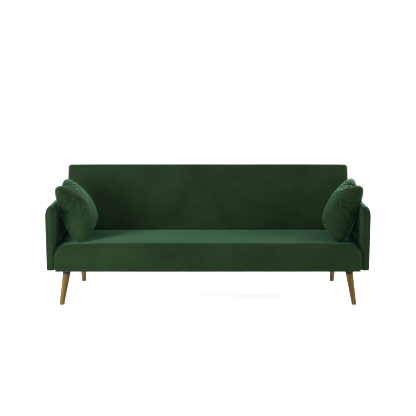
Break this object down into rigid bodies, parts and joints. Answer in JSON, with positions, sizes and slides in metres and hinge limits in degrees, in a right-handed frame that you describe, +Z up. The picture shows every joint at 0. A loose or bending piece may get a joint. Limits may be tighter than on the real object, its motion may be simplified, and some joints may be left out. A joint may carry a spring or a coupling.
{
  "type": "sofa bed",
  "caption": "Velvet click-clack sofa bed with panel arms, splayed wooden legs, a folding backrest and loose cushions.",
  "frame": {"origin": "on the floor under the middle of the whole sofa, backrest upright", "axes": "+X along the sofa to the sitter's left, +Y from front to back, +Z up"},
  "size_m": [2.036, 0.7764, 0.8178],
  "materials": {
    "cushion_velvet": "short-pile velvet, deep emerald green, ruched at the seams",
    "fibre_fill": "polyester fibre filling",
    "foam": "cut polyurethane foam",
    "frame_timber": "sawn pine, unfinished",
    "glide_plastic": "moulded",
    "hinge_steel": "black powder coat",
    "leg_plate_paint": "dark powder coat",
    "leg_wood": "turned beech with a golden walnut stain, satin",
    "lining": "black non-woven lining",
    "spring_steel": "drawn wire",
    "velvet": "short-pile velvet, deep emerald green",
    "webbing": "woven elastic webbing",
    "zinc_steel": "zinc plated"
  },
  "bodies": {
    "seat": {"arm_board_left": "frame_timber", "arm_board_right": "frame_timber", "arm_bolts": "zinc_steel", "arm_cover_left": "velvet", "arm_cover_right": "velvet", "arm_foam_left": "foam", "arm_foam_right": "foam", "arm_spacers": "frame_timber", "base_cross_beams": "frame_timber", "base_rear_rail": "frame_timber", "dust_cover": "lining", "hinge_pivot_pins": "zinc_steel", "hinge_seat_bolts": "zinc_steel", "hinge_seat_plate_left": "hinge_steel", "hinge_seat_plate_right": "hinge_steel", "hinge_washers": "zinc_steel", "leg_front_left": "leg_wood", "leg_front_right": "leg_wood", "leg_glides": "glide_plastic", "leg_hanger_bolts": "zinc_steel", "leg_plate_front_left": "leg_plate_paint", "leg_plate_front_right": "leg_plate_paint", "leg_plate_rear_left": "leg_plate_paint", "leg_plate_rear_right": "leg_plate_paint", "leg_plate_screws": "zinc_steel", "leg_rear_left": "leg_wood", "leg_rear_right": "leg_wood", "pawl_pins": "zinc_steel", "rear_skirt": "velvet", "seat_corner_blocks": "frame_timber", "seat_cover": "velvet", "seat_end_padding": "foam", "seat_end_rail_left": "frame_timber", "seat_end_rail_right": "frame_timber", "seat_foam": "foam", "seat_front_padding": "foam", "seat_front_rail": "frame_timber", "seat_rear_rail": "frame_timber", "seat_springs": "spring_steel", "spring_clips": "spring_steel"},
    "backrest": {"back_bottom_rail": "frame_timber", "back_cover": "velvet", "back_edge_padding": "foam", "back_end_post_left": "frame_timber", "back_end_post_right": "frame_timber", "back_foam": "foam", "back_rear_panel": "velvet", "back_top_rail": "frame_timber", "back_uprights": "frame_timber", "back_webbing": "webbing", "hinge_back_bolts": "zinc_steel", "hinge_back_plate_left": "hinge_steel", "hinge_back_plate_right": "hinge_steel"},
    "pawl_left": {"hinge_pawl_left": "hinge_steel"},
    "pawl_right": {"hinge_pawl_right": "hinge_steel"},
    "cushion_left": {"cushion_cover_left": "cushion_velvet", "cushion_filling_left": "fibre_fill"},
    "cushion_right": {"cushion_cover_right": "cushion_velvet", "cushion_filling_right": "fibre_fill"}
  },
  "joints": [
    {"name": "backrest_recline", "type": "hinge", "parent": "seat", "child": "backrest", "pos_m": [0, 0.17179, 0.335], "axis": [-1, 0, 0], "range_deg": [-5, 72]},
    {"name": "pawl_left_lift", "type": "hinge", "parent": "seat", "child": "pawl_left", "pos_m": [-0.932, 0.13879, 0.29], "axis": [-1, 0, 0], "range_deg": [0, 14], "stiffness_Nm_per_rad": 0.2, "springref_deg": -17.19},
    {"name": "pawl_right_lift", "type": "hinge", "parent": "seat", "child": "pawl_right", "pos_m": [0.932, 0.13879, 0.29], "axis": [-1, 0, 0], "range_deg": [0, 14], "stiffness_Nm_per_rad": 0.2, "springref_deg": -17.19},
    {"name": "cushion_left_lift", "type": "slide", "parent": "seat", "child": "cushion_left", "axis": [0, 0, 1], "range_m": [0, 0.35]},
    {"name": "cushion_right_lift", "type": "slide", "parent": "seat", "child": "cushion_right", "axis": [0, 0, 1], "range_m": [0, 0.35]}
  ]
}
